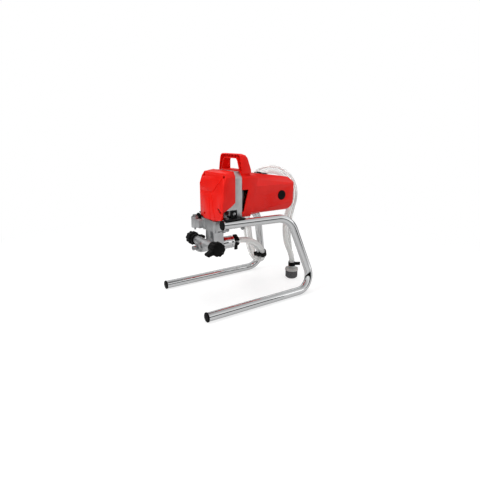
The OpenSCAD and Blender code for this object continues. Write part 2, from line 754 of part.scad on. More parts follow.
module rear_motor_bracket() {
    color(ALU) place() difference() {
        union() {
            intersection() {
                y_rod(44, 224, 230, 0, motor_z);
                union() {
                    translate([0, 240, motor_z]) rotate([90, 45, 0])
                        translate([-44, -9, 0]) cube([88, 18, 30]);
                    block([-50, 200, motor_z - 7], [50, 240, motor_z + 7]);
                }
            }
            y_rod(16, 224, 236, 0, motor_z);
        }
        y_rod(11 + fit, 225.9, 237, 0, motor_z);
        y_rod(7, 223, 238, 0, motor_z);
        for (s = [-1, 1]) y_rod(2 + fit, 223, 231, s * tie_at, motor_z + s * tie_at);
    }
}

// A ball bearing, drawn as its two rings and its filled gap
module bearing(outer, inner, y, width, x, z) {
    difference() {
        y_rod(outer, y, y + width, x, z);
        y_rod(inner, y - 1, y + width + 1, x, z);
        for (e = [y - 1, y + width - 0.8]) difference() {
            y_rod(outer - 2.2, e, e + 1.8, x, z);
            y_rod(inner + 2.2, e - 1, e + 2.8, x, z);
        }
    }
}

module motor_bearings() {
    color(STEEL) place() {
        bearing(16, shaft_d / 2 + run_gap, case_rear + 3, 10, 0, motor_z);
        bearing(11, 4 + run_gap, 226, 7, 0, motor_z);
    }
}

module crank_bearings() {
    color(STEEL) place() {
        bearing(15 - fit, 8.5 + run_gap, plate_y, 6, 0, crank_z);
        bearing(13 - fit, 6 + run_gap, wall_y - 7, 7, 0, crank_z);
    }
}

module intermediate_pin() {
    color(STEEL) place() y_rod(4, plate_y + 1, wall_y + 4, second_x, second_z);
}

module brush_caps() {
    color(BLACK) place() both() difference() {
        union() {
            x_rod(14.5, body_half_w - 4.5, body_half_w - 1, brush_y, motor_z);
            x_rod(9, 30, body_half_w - 4, brush_y, motor_z);
        }
        block([20, brush_y - 5.1, motor_z - 3.1], [54, brush_y + 5.1, motor_z + 3.1]);
        block([body_half_w - 2.4, brush_y - 10, motor_z - 1.2], [70, brush_y + 10, motor_z + 1.2]);
    }
}

module carbon_brushes() {
    color([0.16, 0.16, 0.17]) place() both() difference() {
        block([10, brush_y - 5, motor_z - 3], [50, brush_y + 5, motor_z + 3]);
        y_rod(14.3, brush_y - 9, brush_y + 9, 0, motor_z);
    }
}

module armature_shaft() {
    color(STEEL) place() {
        y_rod(shaft_d / 2, wall_y + 3.5, 222, 0, motor_z);
        y_rod(4, 221, 238, 0, motor_z);
        along_y(wall_y - 12, wall_y + 4) translate([0, motor_z])
            polygon(gear_outline(pinion_teeth, first_module, 1, 1.2, first_angle));
    }
}

module armature_core() {
    color(STEEL) place() difference() {
        y_rod(core_r, 98, 162, 0, motor_z);
        y_rod(shaft_d / 2, 97, 163, 0, motor_z);
        translate([0, 0, motor_z]) for (i = [0 : 11]) rotate([0, i * 30, 0])
            block([-1.2, 97, core_r - 6], [1.2, 163, core_r + 1]);
    }
}

module armature_windings() {
    color(COPPER) place() difference() {
        union() {
            y_rod(core_r - 3, 89, 98, 0, motor_z);
            y_rod(core_r - 3, 162, 176, 0, motor_z);
            y_rod(core_r - 7, 176, 195, 0, motor_z);
        }
        y_rod(shaft_d / 2, 88, 196, 0, motor_z);
    }
}

module commutator() {
    color(COPPER) place() difference() {
        y_rod(14, 195, 213, 0, motor_z);
        y_rod(shaft_d / 2, 194, 214, 0, motor_z);
        translate([0, 0, motor_z]) for (i = [0 : 11]) rotate([0, i * 30 + 15, 0])
            block([-0.4, 198, 12.8], [0.4, 214, 15]);
    }
}

module cooling_fan() {
    color(BLACK) place() difference() {
        union() {
            y_rod(10, 74, 86, 0, motor_z);
            y_rod(33, 76, 78, 0, motor_z);
            translate([0, 0, motor_z]) for (i = [0 : 8]) rotate([0, i * 40, 0])
                block([-1, 76, 8], [1, 86, 32]);
        }
        y_rod(shaft_d / 2, 73, 87, 0, motor_z);
    }
}

// ---- Gears and crank -----------------------------------------------------------------------

module intermediate_gear() {
    color(STEEL) place() difference() {
        union() {
            along_y(wall_y - 9, wall_y - 2) translate([second_x, second_z]) polygon(
                gear_outline(wheel_teeth, first_module, 0.7, 1.2, first_angle + 180 + 180 / wheel_teeth));
            along_y(plate_y + 8, wall_y - 9) translate([second_x, second_z]) polygon(
                gear_outline(second_teeth, second_module, 1, 1.2, second_angle));
        }
        y_rod(4 + run_gap, 0, 60, second_x, second_z);
        for (i = [0 : 5]) y_rod(2.6, wall_y - 10, wall_y, second_x + 15 * cos(i * 60 + 30),
            second_z + 15 * sin(i * 60 + 30));
    }
}

module crank_gear() {
    color(STEEL) place() difference() {
        along_y(plate_y + 9.5, plate_y + 19) translate([0, crank_z]) polygon(
            gear_outline(crank_teeth, second_module, 0.7, 1.2, second_angle + 180 + 180 / crank_teeth));
        y_rod(10, 0, 60, 0, crank_z);
        for (i = [0 : 5]) y_rod(5.5, 0, 60, 21 * cos(i * 60), crank_z + 21 * sin(i * 60));
    }
}

module crankshaft() {
    color(STEEL) place() {
        difference() {
            y_rod(22, 8, 13, 0, crank_z);
            for (s = [-1, 1]) y_rod(4.5, 7, 14, s * 14, crank_z);
        }
        y_rod(11, 12, plate_y - 0.3, 0, crank_z);
        y_rod(8.5, 12, plate_y + 8, 0, crank_z);
        y_rod(10, plate_y + 6.8, plate_y + 19, 0, crank_z);
        y_rod(11.5, plate_y + 19, plate_y + 22, 0, crank_z);
        y_rod(8, plate_y + 21, wall_y - 7.3, 0, crank_z);
        y_rod(6, wall_y - 8, wall_y + 1, 0, crank_z);
    }
}

module connecting_rod() {
    color(STEEL) place() difference() {
        union() {
            y_rod(7.5, -3.6, 4.6, 0, wrist_z);
            y_rod(crank_pin_d / 2 + 4.5, -3.6, 4.6, 0, pin_z);
            block([-5.5, -2.5, wrist_z], [5.5, 3.5, pin_z]);
        }
        y_rod(wrist_pin_d / 2 + run_gap, -6, 6, 0, wrist_z);
        y_rod(crank_pin_d / 2, -6, 6, 0, pin_z);
        for (y = [-3.5, 2.5]) block([-3, y, wrist_z + 11], [3, y + 2, pin_z - 13]);
    }
}

module crank_pin() {
    color(STEEL) place() {
        y_rod(crank_pin_d / 2, -3.6, 7.6, 0, pin_z);
        y_rod(crank_pin_d / 2 + 1.5, 4.6, 6, 0, pin_z);
    }
}

module crosshead() {
    color(STEEL) place() difference() {
        z_rod(guide_r, wrist_z - 14, wrist_z + 8, 0, 0);
        block([-20, -20, wrist_z - 15], [20, guide_front, wrist_z + 9]);
        block([-9, -4, wrist_z - 8.5], [9, 5, wrist_z + 9]);
        y_rod(wrist_pin_d / 2, -20, 20, 0, wrist_z);
        z_rod(piston_r, wrist_z - 15, wrist_z - 8, 0, 0);
    }
}

module wrist_pin() {
    color(STEEL) place() y_rod(wrist_pin_d / 2, guide_front + 0.3, 12.5, 0, wrist_z);
}

module piston_rod() {
    color(CHROME) place() z_rod(piston_r, 180, wrist_z - 8.6, 0, 0);
}

// ---- Pump ----------------------------------------------------------------------------------

pump_bore = 10;
column_front = -17;
column_rear = 16;
nose_end = -50;
return_x = -43;
return_z = 164;
lug_x = 66;
lug_y = -31;

module pump_block() {
    color(ALU) place() difference() {
        union() {
            block([-35, -20, 214], [35, 20, joint_z]);
            for (x = [-29, 29], y = [-14.5, 14.5]) z_rod(7.5, 210, joint_z, x, y);
            block([-column_half_w, column_front, 156], [column_half_w, column_rear, 215]);
            z_rod(15, 160, 215, 0, -8);
            y_rod(16, nose_end, 0, 0, valve_z);
            x_rod(13, -knob_inner_x + 13, knob_inner_x - 13, -cross_front, cross_z);
            // arm and eye on the left
            block([-lug_x + 4, lug_y - 5, 214], [-30, lug_y + 11, 238]);
            z_rod(11, joint_z - 33, joint_z + 0.4, -lug_x, lug_y);
            // boss of the return line
            y_rod(5.5, -33, -20, return_x, return_z);
        }
        // split between the flange's two halves, and a groove down the column's front
        block([-40, -25, 214.4], [-20, -19, 215.4]);
        block([column_half_w - 15, column_front - 8, 190], [column_half_w - 2, column_front + 6, 211]);
        z_rod(pump_bore, 160, joint_z + 1, 0, 0);
        z_rod(pump_bore + 2, 205, joint_z + 1, 0, 0);
        z_rod(3.2, 200, joint_z + 2, -lug_x, lug_y);
        // inlet and outlet passages
        y_rod(4.5, 0, column_rear + 1, 0, valve_z);
        y_rod(4.5, nose_end + 20, 0, 0, valve_z);
        y_rod(10 + fit, nose_end - 1, nose_end + 22, 0, valve_z);
        both() x_rod(9 + fit, 26, knob_inner_x, -cross_front, cross_z);
        y_rod(3 + fit, -29.5, -19, return_x, return_z);
        for (x = [-29, 29], y = [-1, 14.5]) z_rod(3 + fit, 208, joint_z + 1, x, y);
    }
}

module pump_bolts() {
    color(STEEL) place() {
        for (x = [-29, 29], y = [-1, 14.5]) z_rod(3, 208, joint_z + 8, x, y);
        for (x = [-29, 29]) {
            translate([x, 14.5, 206]) cylinder(r = 5.2, h = 4, $fn = 6);
            translate([x, -1, 210]) cylinder(r = 5.2, h = 4, $fn = 6);
        }
    }
}

module lug_bolt() {
    color(STEEL) place() {
        z_rod(3, joint_z - 40, joint_z + 3, -lug_x, lug_y);
        z_rod(9, joint_z + 0.4, joint_z + 2, -lug_x, lug_y);
        translate([-lug_x, lug_y, joint_z + 2]) cylinder(r = 6.4, h = 4.5, $fn = 6);
    }
}

module pump_sleeve() {
    color(CHROME) place() difference() {
        z_rod(pump_bore - fit, 181, 204.8, 0, 0);
        z_rod(piston_r + 0.6, 180, 206, 0, 0);
    }
}

module rod_packing() {
    color([0.86, 0.84, 0.78]) place() for (i = [0 : 4]) difference() {
        z_rod(pump_bore + 2 - fit, 205 + i * 3.2, 208.1 + i * 3.2, 0, 0);
        z_rod(piston_r + run_gap, 204, 223, 0, 0);
    }
}

module packing_nut() {
    color(STEEL) place() difference() {
        union() {
            z_rod(pump_bore + 2 - fit, 221, joint_z, 0, 0);
            translate([0, 0, joint_z]) cylinder(r = 13.6, h = 6, $fn = 6);
        }
        z_rod(piston_r + 0.3, 220, joint_z + 7, 0, 0);
    }
}

outlet_seat_y = nose_end + 18;
outlet_ball_y = outlet_seat_y - sqrt(ball_d * ball_d / 4 - 16) - 0.3;
inlet_seat_y = column_rear + 22;
inlet_ball_y = inlet_seat_y - sqrt(ball_d * ball_d / 4 - 16) - 0.3;

// The outlet's union: its collar, its hexagon and the threaded end
module outlet_fitting() {
    color(STEEL) place() difference() {
        union() {
            y_rod(10, nose_end, outlet_seat_y, 0, valve_z);
            y_rod(14, nose_end - 4, nose_end, 0, valve_z);
            translate([0, nose_end - 4, valve_z]) rotate([90, 0, 0]) cylinder(r = 13, h = 6, $fn = 6);
            y_rod(outlet_d / 2 - 0.8, nose_end - 12, nose_end - 9, 0, valve_z);
            y_rod(outlet_d / 2, nose_end - 10 - outlet_thread_l, nose_end - 12, 0, valve_z);
        }
        y_rod(3, nose_end - 30, nose_end + 8, 0, valve_z);
        y_rod(ball_d / 2 + 0.6, outlet_ball_y - ball_lift - ball_d / 2 - 0.3, outlet_seat_y + 1, 0, valve_z);
    }
}

module valve_seats() {
    color([0.5, 0.52, 0.55]) place() {
        difference() {
            y_rod(10, outlet_seat_y, outlet_seat_y + 4, 0, valve_z);
            y_rod(4, outlet_seat_y - 1, outlet_seat_y + 5, 0, valve_z);
        }
        difference() {
            y_rod(10, inlet_seat_y, inlet_seat_y + 6, 0, valve_z);
            y_rod(4, inlet_seat_y - 1, inlet_seat_y + 7, 0, valve_z);
        }
    }
}

module outlet_ball() {
    color(CHROME) place() translate([0, outlet_ball_y, valve_z]) sphere(r = ball_d / 2);
}

module inlet_ball() {
    color(CHROME) place() translate([0, inlet_ball_y, valve_z]) sphere(r = ball_d / 2);
}

inlet_end = column_rear + inlet_l;
module inlet_housing() {
    color(CHROME) place() difference() {
        union() {
            y_rod(inlet_d / 2, column_rear, column_rear + 34, 0, valve_z);
            y_rod(inlet_d / 2 - 2, column_rear + 33, column_rear + 37, 0, valve_z);
            y_rod(inlet_d / 2, column_rear + 36, inlet_end, 0, valve_z);
        }
        y_rod(4.5, 0, inlet_end, 0, valve_z);
        y_rod(ball_d / 2 + 0.6, inlet_ball_y - ball_lift - ball_d / 2 - 0.3, inlet_seat_y + 1, 0, valve_z);
        y_rod(10 + fit, inlet_seat_y, inlet_end + 1, 0, valve_z);
    }
}

hose_start = 80;
clamp_y = hose_start - 17;
module hose_barb() {
    color(STEEL) place() difference() {
        union() {
            y_rod(10, inlet_seat_y + 6, inlet_end, 0, valve_z);
            translate([0, inlet_end + 3, valve_z]) rotate([90, 0, 0]) cylinder(r = 14, h = 3, $fn = 6);
            y_rod(hose_d / 2, inlet_end, hose_start, 0, valve_z);
        }
        y_rod(5.5, inlet_seat_y + 5, hose_start + 1, 0, valve_z);
    }
}

// The black clamp that holds the hose, with its wing and ears
module inlet_clamp() {
    color(BLACK) place() difference() {
        union() {
            y_rod(hose_d / 2 + 6.5, clamp_y + 1, hose_start - 1, 0, valve_z);
            block([-5, clamp_y + 3, valve_z + 12], [5, hose_start - 3, valve_z + 20]);
            block([4, clamp_y + 3, valve_z - 25.5], [8.5, hose_start - 4, valve_z - 11]);
        }
        y_rod(hose_d / 2 + fit, clamp_y, hose_start, 0, valve_z);
        block([7, clamp_y, valve_z - 4.5], [20, hose_start, valve_z + 3.5]);
    }
}

module return_barb() {
    color(STEEL) place() {
        y_rod(3, -29, -19, return_x, return_z);
        translate([return_x, -16, return_z]) rotate([90, 0, 0]) cylinder(r = 6.2, h = 4, $fn = 6);
        y_rod(return_d / 2 - 0.5, -17, -2, return_x, return_z);
    }
}

// ---- Valves and knobs ----------------------------------------------------------------------

module valve_cartridges() {
    color(STEEL) place() both() difference() {
        union() {
            x_rod(9, 30, knob_inner_x - 13, -cross_front, cross_z);
            translate([knob_inner_x - 13, -cross_front, cross_z]) rotate([0, 90, 0])
                cylinder(r = 12.5, h = 7, $fn = 6);
            x_rod(8.5, knob_inner_x - 7, knob_inner_x - 1, -cross_front, cross_z);
        }
        x_rod(4 + run_gap, 29, knob_inner_x, -cross_front, cross_z);
    }
}

module spindle() {
    x_rod(4, 31, knob_inner_x + 15, 0, 0);
}

// A scalloped knob with a lever that leaves it at the given angle below the front
module knob(lever) {
    difference() {
        union() {
            x_rod(knob_d / 2 - 2.5, knob_inner_x, knob_inner_x + knob_t, 0, 0);
            rotate([lever + 9, 0, 0]) for (i = [0 : 9]) rotate([i * 36, 0, 0])
                x_rod(5.4, knob_inner_x + 1, knob_inner_x + knob_t - 1.5, knob_d / 2 - 5.4, 0);
            rotate([lever, 0, 0]) {
                along_x(knob_inner_x + 3, knob_inner_x + knob_t - 3)
                    polygon([[0, -10], [0, 10], [-knob_lever + 5, 4.6], [-knob_lever + 5, -4.6]]);
                x_rod(5.2, knob_inner_x + 3, knob_inner_x + knob_t - 3, -knob_lever + 5, 0);
            }
            // skirt over the end of the valve's tube
            difference() {
                x_rod(16.5, knob_inner_x - 13.5, knob_inner_x + 2, 0, 0);
                x_rod(13.7, knob_inner_x - 14, knob_inner_x, 0, 0);
            }
        }
        x_rod(4 + fit, knob_inner_x - 1, knob_inner_x + 15.2, 0, 0);
    }
}

module right_axis() {
    translate([0, -cross_front, cross_z]) children();
}

module left_axis() {
    translate([0, -cross_front, cross_z]) rotate([0, 0, 180]) children();
}

module prime_knob() {
    color(BLACK) place() right_axis() knob(20);
}

module prime_spindle() {
    color(STEEL) place() right_axis() spindle();
}

module pressure_knob() {
    color(BLACK) place() left_axis() knob(0);
}

module pressure_spindle() {
    color(STEEL) place() left_axis() spindle();
}

// ---- Hoses and strainer --------------------------------------------------------------------

module suction_hose() {
    color(CLEAR) place() swept_tube(suction_route, hose_d, 10);
}

module return_hose() {
    color(CLEAR) place() swept_tube(return_route, return_d, 8);
}

// A clip that holds both hoses where they pass one of the suction hose's stations
module dual_clip(i, t) {
    p = curve_at(suction_route, i, t);
    s = slope_at(suction_route, i, t);
    near = nearest_on_return(p);
    w = carried(near - p, s);
    gap = norm(near - p);
    n = cross(s, w);
    multmatrix([[w[0], n[0], s[0], p[0]], [w[1], n[1], s[1], p[1]], [w[2], n[2], s[2], p[2]],
        [0, 0, 0, 1]]) difference() {
        union() {
            translate([0, 0, -6]) cylinder(r = hose_d / 2 + 3, h = 12);
            translate([gap, 0, -6]) cylinder(r = return_d / 2 + 3.6, h = 12);
            translate([0, -3, -6]) cube([gap, 6, 12]);
            translate([-hose_d / 2 - 12, -1.5, -6]) cube([11, 3, 12]);
        }
        translate([0, 0, -7]) cylinder(r = hose_d / 2 + 0.8, h = 14);
        translate([gap, 0, -7]) cylinder(r = return_d / 2 + 1.5, h = 14);
    }
}

function near_list(p) = [for (i = [0 : len(return_route) - 4], t = [0 : 0.1 : 0.9])
    let (q = curve_at(return_route, i, t)) [norm(q - p), q]];
function nearest_on_return(p) = let (all = near_list(p), best = min([for (e = all) e[0]]))
    [for (e = all) if (e[0] == best) e[1]][0];

module hose_clips() {
    color(BLACK) place() {
        dual_clip(3, 0.1);
        dual_clip(24, 0.8);
    }
}

strainer_x = 8;
strainer_y = 303;
module strainer_cap() {
    color([0.75, 0.75, 0.75]) place() difference() {
        union() {
            z_rod(strainer_d / 2, strainer_h, strainer_h + 8, strainer_x, strainer_y);
            z_rod(hose_d / 2 + 2, strainer_h + 7, 44, strainer_x, strainer_y);
        }
        z_rod(strainer_d / 2 - 4, strainer_h - 1, strainer_h + 5, strainer_x, strainer_y);
        z_rod(5, strainer_h, 45, strainer_x, strainer_y);
    }
}

module strainer_bowl() {
    color([0.3, 0.3, 0.3]) place() difference() {
        intersection() {
            union() {
                z_rod(strainer_d / 2 - 2.5, 0, strainer_h, strainer_x, strainer_y);
                for (i = [0 : 17]) translate([strainer_x, strainer_y, 0]) rotate([0, 0, i * 20])
                    block([strainer_d / 2 - 4, -1, 0], [strainer_d / 2 - 1.4, 1, strainer_h]);
            }
            translate([strainer_x, strainer_y, 0]) rotate_extrude() polygon([[0, 0],
                [strainer_d / 2 - 7, 0], [strainer_d / 2 - 1, 5.5], [strainer_d / 2 - 1, strainer_h],
                [0, strainer_h]]);
        }
        z_rod(strainer_d / 2 - 8.5, 2, strainer_h, strainer_x, strainer_y);
        z_rod(strainer_d / 2 - 5, 6, strainer_h + 1, strainer_x, strainer_y);
        for (z = [7, 12, 17, 22]) difference() {
            z_rod(strainer_d / 2, z, z + 2.4, strainer_x, strainer_y);
            z_rod(strainer_d / 2 - 3.4, z - 1, z + 3.4, strainer_x, strainer_y);
        }
    }
}

stand_tube_right();
stand_tube_left();
end_caps();
base_bracket();
frame_bolts();
gear_housing();
bearing_plate();
front_cover();
cover_screws();
rear_housing();
cable_gland();
switch_body();
switch_rocker();
motor_end_bell();
stator();
field_coils();
motor_ties();
rear_motor_bracket();
motor_bearings();
crank_bearings();
intermediate_pin();
brush_caps();
carbon_brushes();
armature_shaft();
armature_core();
armature_windings();
commutator();
cooling_fan();
intermediate_gear();
crank_gear();
crankshaft();
connecting_rod();
crank_pin();
crosshead();
wrist_pin();
piston_rod();
pump_block();
pump_bolts();
lug_bolt();
pump_sleeve();
rod_packing();
packing_nut();
outlet_fitting();
valve_seats();
outlet_ball();
inlet_ball();
inlet_housing();
hose_barb();
inlet_clamp();
return_barb();
valve_cartridges();
prime_knob();
prime_spindle();
pressure_knob();
pressure_spindle();
suction_hose();
return_hose();
hose_clips();
strainer_cap();
strainer_bowl();
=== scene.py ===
"""Airless paint sprayer: the visible finish of its moulded, cast, chromed and turned pieces,
its two clear hoses, and a plain studio around it."""

import json
import math
from contextlib import contextmanager

import bpy
from mathutils import Matrix, Vector


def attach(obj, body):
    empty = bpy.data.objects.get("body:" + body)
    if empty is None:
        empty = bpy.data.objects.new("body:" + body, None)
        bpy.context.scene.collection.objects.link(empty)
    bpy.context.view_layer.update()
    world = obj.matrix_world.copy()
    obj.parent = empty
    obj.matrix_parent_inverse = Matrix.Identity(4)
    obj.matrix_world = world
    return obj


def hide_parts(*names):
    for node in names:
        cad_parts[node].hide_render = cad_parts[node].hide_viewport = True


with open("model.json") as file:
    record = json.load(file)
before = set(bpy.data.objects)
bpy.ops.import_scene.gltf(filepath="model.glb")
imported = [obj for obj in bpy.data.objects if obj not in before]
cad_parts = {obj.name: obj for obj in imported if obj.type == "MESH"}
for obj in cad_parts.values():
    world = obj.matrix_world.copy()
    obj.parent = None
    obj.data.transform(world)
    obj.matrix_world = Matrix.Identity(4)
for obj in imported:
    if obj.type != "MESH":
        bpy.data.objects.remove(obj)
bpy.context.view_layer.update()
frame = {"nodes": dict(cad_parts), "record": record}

bl_info = {
    "name": "Airless paint sprayer",
    "version": (1, 0, 0),
    "blender": (4, 5, 0),
    "location": "View3D > Sidebar > Sprayer",
    "description": "Finishes the sprayer's pieces and sets up its studio",
    "category": "Object",
}

MM = 0.001
# The pump's axis lies this far from the origin, along Y
PUMP_Y = -85.882 * MM


def at(x, y, z):
    """A point given in millimetres from the pump's axis and the floor, in metres."""
    return Vector((x * MM, y * MM + PUMP_Y, z * MM))


class Sizes(bpy.types.PropertyGroup):
    """Walls of the hoses, rounding of the covers and colour of the floor."""

    suction_wall: bpy.props.FloatProperty(
        name="Suction hose wall", description="Wall of the suction hose",
        default=2.5 * MM, unit="LENGTH",
    )
    return_wall: bpy.props.FloatProperty(
        name="Return hose wall", description="Wall of the return hose",
        default=1.4 * MM, unit="LENGTH",
    )
    edge_round: bpy.props.FloatProperty(
        name="Moulded edge", description="Rounding of the front cover's edges",
        default=0.6 * MM, unit="LENGTH",
    )
    floor_colour: bpy.props.FloatVectorProperty(
        name="Floor", description="Colour of the floor", subtype="COLOR", size=3,
        default=(0.9, 0.9, 0.9),
    )


# ---- Materials -----------------------------------------------------------------------------

# Nearly all values of a noise pattern lie between these two
NOISE_LOW = 0.3
NOISE_HIGH = 0.7


def linear(code):
    """An sRGB hex colour as linear red, green, blue and full alpha."""
    parts = [int(code[i : i + 2], 16) / 255 for i in (1, 3, 5)]
    return [p / 12.92 if p <= 0.04045 else ((p + 0.055) / 1.055) ** 2.4 for p in parts] + [1.0]


def add(tree, kind, settings=None, **links):
    """Adds a node, sets its properties and sockets, and links its sockets, each named or, as i0,
    i1 and so on, numbered."""
    new = tree.nodes.new(kind)
    for key, value in (settings or {}).items():
        if hasattr(new, key):
            setattr(new, key, value)
        else:
            new.inputs[key].default_value = value
    for key, source in links.items():
        numbered = key[0] == "i" and key[1:].isdigit()
        tree.links.new(source, new.inputs[int(key[1:]) if numbered else key])
    return new


def material(name, base, metallic, roughness, extra=None):
    """A plain material, followed by its tree, its shader and the position its patterns read."""
    made = bpy.data.materials.new(name)
    made.use_nodes = True
    tree = made.node_tree
    shader = tree.nodes["Principled BSDF"]
    shader.inputs["Base Color"].default_value = linear(base)
    shader.inputs["Metallic"].default_value = metallic
    shader.inputs["Roughness"].default_value = roughness
    for key, value in (extra or {}).items():
        shader.inputs[key].default_value = value
    place = add(tree, "ShaderNodeTexCoord").outputs["Object"]
    return made, tree, shader, place


def mottle(surface, scale, dark, light):
    """Colour that drifts between two shades over patches of the given scale, per metre."""
    tree, shader, place = surface
    noise = add(tree, "ShaderNodeTexNoise", {"Scale": scale, "Detail": 3.0}, Vector=place)
    ramp = add(tree, "ShaderNodeValToRGB", {}, Fac=noise.outputs["Fac"])
    for stop, position, shade in zip(
        ramp.color_ramp.elements, (NOISE_LOW, NOISE_HIGH), (dark, light)
    ):
        stop.position = position
        stop.color = linear(shade)
    tree.links.new(ramp.outputs["Color"], shader.inputs["Base Color"])


def uneven_gloss(surface, scale, low, high):
    """Roughness that varies between two values over patches of the given scale, per metre."""
    tree, shader, place = surface
    noise = add(tree, "ShaderNodeTexNoise", {"Scale": scale, "Detail": 4.0}, Vector=place)
    spread = add(
        tree, "ShaderNodeMapRange",
        {"From Min": NOISE_LOW, "From Max": NOISE_HIGH, "To Min": low, "To Max": high},
        Value=noise.outputs["Fac"],
    )
    tree.links.new(spread.outputs["Result"], shader.inputs["Roughness"])


def relief(surface, kind, settings, depth, strength=1.0):
    """Raises the surface in a texture node's pattern, by up to a depth in metres."""
    tree, shader, place = surface
    pattern = add(tree, kind, settings, Vector=place)
    bump = add(
        tree, "ShaderNodeBump", {"Strength": strength, "Distance": depth},
        Height=pattern.outputs["Fac"],
    )
    tree.links.new(bump.outputs["Normal"], shader.inputs["Normal"])


def moulded_abs():
    """Red ABS, moulded in a finely spark-eroded tool: even colour, soft gloss."""
    made, *surface = material(
        "moulded ABS", "#E4160C", 0.0, 0.38, {"IOR": 1.5, "Specular IOR Level": 0.25}
    )
    mottle(surface, 30, "#E0140B", "#E8190F")
    uneven_gloss(surface, 60, 0.32, 0.42)
    # the tool's texture has 0.6 mm grain, drawn at 1.5 mm so that it shows
    relief(surface, "ShaderNodeTexNoise", {"Scale": 650.0, "Detail": 1.0}, 0.02 * MM, 0.15)
    return made


def cast_aluminium():
    """Die-cast aluminium, bead blasted: dull silver with a fine even grain."""
    made, *surface = material("die-cast aluminium", "#D0D1D2", 1.0, 0.46)
    mottle(surface, 60, "#C8C9CA", "#D7D8D9")
    uneven_gloss(surface, 200, 0.4, 0.52)
    # blasting leaves 0.5 mm dimples, drawn at 1.2 mm so that they show
    relief(surface, "ShaderNodeTexNoise", {"Scale": 800.0, "Detail": 2.0}, 0.05 * MM, 0.35)
    return made


def chromed_steel():
    """Bright chrome plate on steel: a mirror with faint wiping marks."""
    made, *surface = material("chrome plate", "#DCDDDE", 1.0, 0.08)
    uneven_gloss(surface, 60, 0.02, 0.06)
    return made


def turned_steel():
    """Zinc plated steel, turned: fairly bright, with patches that spread its reflections."""
    made, *surface = material("turned steel", "#A9AAAB", 1.0, 0.3)
    mottle(surface, 150, "#9E9FA0", "#B4B5B6")
    uneven_gloss(surface, 300, 0.22, 0.36)
    return made


def black_enamel():
    """Black powder coat on pressed steel: satin, with an orange peel of 1.4 mm."""
    made, *surface = material(
        "black powder coat", "#0C0C0D", 0.0, 0.4, {"IOR": 1.5, "Specular IOR Level": 0.25}
    )
    relief(surface, "ShaderNodeTexNoise", {"Scale": 700.0, "Detail": 2.0}, 0.05 * MM, 0.3)
    uneven_gloss(surface, 120, 0.34, 0.46)
    return made


def black_nylon():
    """Glass-filled nylon, moulded: near black, dull, with a faint grain of 1.1 mm."""
    made, *surface = material(
        "moulded nylon", "#070707", 0.0, 0.46, {"IOR": 1.53, "Specular IOR Level": 0.1}
    )
    mottle(surface, 120, "#050505", "#0A0A0A")
    relief(surface, "ShaderNodeTexNoise", {"Scale": 900.0, "Detail": 2.0}, 0.05 * MM, 0.3)
    return made


def black_rubber():
    """Moulded rubber: dark, soft sheen."""
    made, *surface = material(
        "moulded rubber", "#080808", 0.0, 0.6, {"IOR": 1.5, "Specular IOR Level": 0.12}
    )
    mottle(surface, 100, "#060606", "#0C0C0C")
    return made


def copper_wire():
    """Enamelled copper wire, wound: orange metal in 0.8 mm turns."""
    made, *surface = material("enamelled copper", "#B8683A", 1.0, 0.3)
    relief(surface, "ShaderNodeTexWave", {"Scale": 390.0, "Distortion": 0.4}, 0.3 * MM)
    return made


def clear_pvc():
    """Clear plasticised PVC, extruded: milky, glossy, seen through its wall."""
    made, *surface = material(
        "extruded clear PVC", "#FAFBFA", 0.0, 0.2, {"IOR": 1.15, "Transmission Weight": 0.6}
    )
    mottle(surface, 25, "#F8F9F8", "#FDFEFD")
    uneven_gloss(surface, 60, 0.15, 0.25)
    return made


def pale_polypropylene():
    """Natural polypropylene, moulded: pale grey and waxy."""
    made, *surface = material(
        "moulded polypropylene", "#B9B9B7", 0.0, 0.4, {"IOR": 1.49, "Subsurface Weight": 0.05}
    )
    mottle(surface, 90, "#B4B4B2", "#C0C0BE")
    return made


def strainer_mesh():
    """Woven steel gauze behind moulded ribs: dark grey wire in a square weave, with painted shade
    in its openings.
    """
    made, tree, shader, place = material("steel gauze", "#6E6F71", 0.3, 0.5)
    # the weave's openings are painted darker, as the shade seen through them, and drawn at 1.2 mm
    # so that they show
    weave = add(
        tree, "ShaderNodeTexChecker",
        {"Scale": 830.0, "Color1": linear("#4C4D4F"), "Color2": linear("#7A7B7D")}, Vector=place,
    )
    tree.links.new(weave.outputs["Color"], shader.inputs["Base Color"])
    return made


FINISHES = {
    "red_moulding": moulded_abs,
    "cast_aluminium": cast_aluminium,
    "chromed_tube": chromed_steel,
    "machined_steel": turned_steel,
    "black_steel": black_enamel,
    "black_plastic": black_nylon,
    "black_rubber": black_rubber,
    "copper": copper_wire,
    "clear_tube": clear_pvc,
    "pale_packing": pale_polypropylene,
    "carbon": black_rubber,
    "pale_plastic": pale_polypropylene,
    "grey_mesh": strainer_mesh,
    "hardened_ball": chromed_steel,
}
# The materials made so far, by slot
_made = {}


def finish(piece, slot):
    """Gives a piece the one material of a record slot, which is made when first used."""
    if slot not in _made:
        _made[slot] = FINISHES[slot]()
    piece.data.materials.clear()
    piece.data.materials.append(_made[slot])


# ---- Shaping -------------------------------------------------------------------------------

# Points of a copied mesh that lie closer than this are one point
MERGE = 0.02 * MM
# A corner that is pressed in bends the faces from this far behind its flat, in metres
PRESS_MARGIN = 4 * MM
# Points of a smooth curve for each control point, and of each bend of the stand
CURVE_STEPS = 6
BEND_STEPS = 16


def slot_of(node):
    """The record's material slot of a CAD node."""
    for row in frame["record"]["subparts"]:
        if row["node"] == node:
            return row["material_slot"]
    raise RuntimeError("no slot for " + node)


def body_of(node):
    """The body that a CAD node belongs to."""
    for body, members in frame["record"]["behaviour"]["bodies"].items():
        if node in members:
            return body
    raise RuntimeError("no body for " + node)


def only(*pieces):
    """Selects these objects alone and makes the first one active."""
    bpy.ops.object.select_all(action="DESELECT")
    for piece in pieces:
        piece.select_set(True)
    bpy.context.view_layer.objects.active = pieces[0]


def active():
    """The object that the last operator made or worked on."""
    return bpy.context.view_layer.objects.active


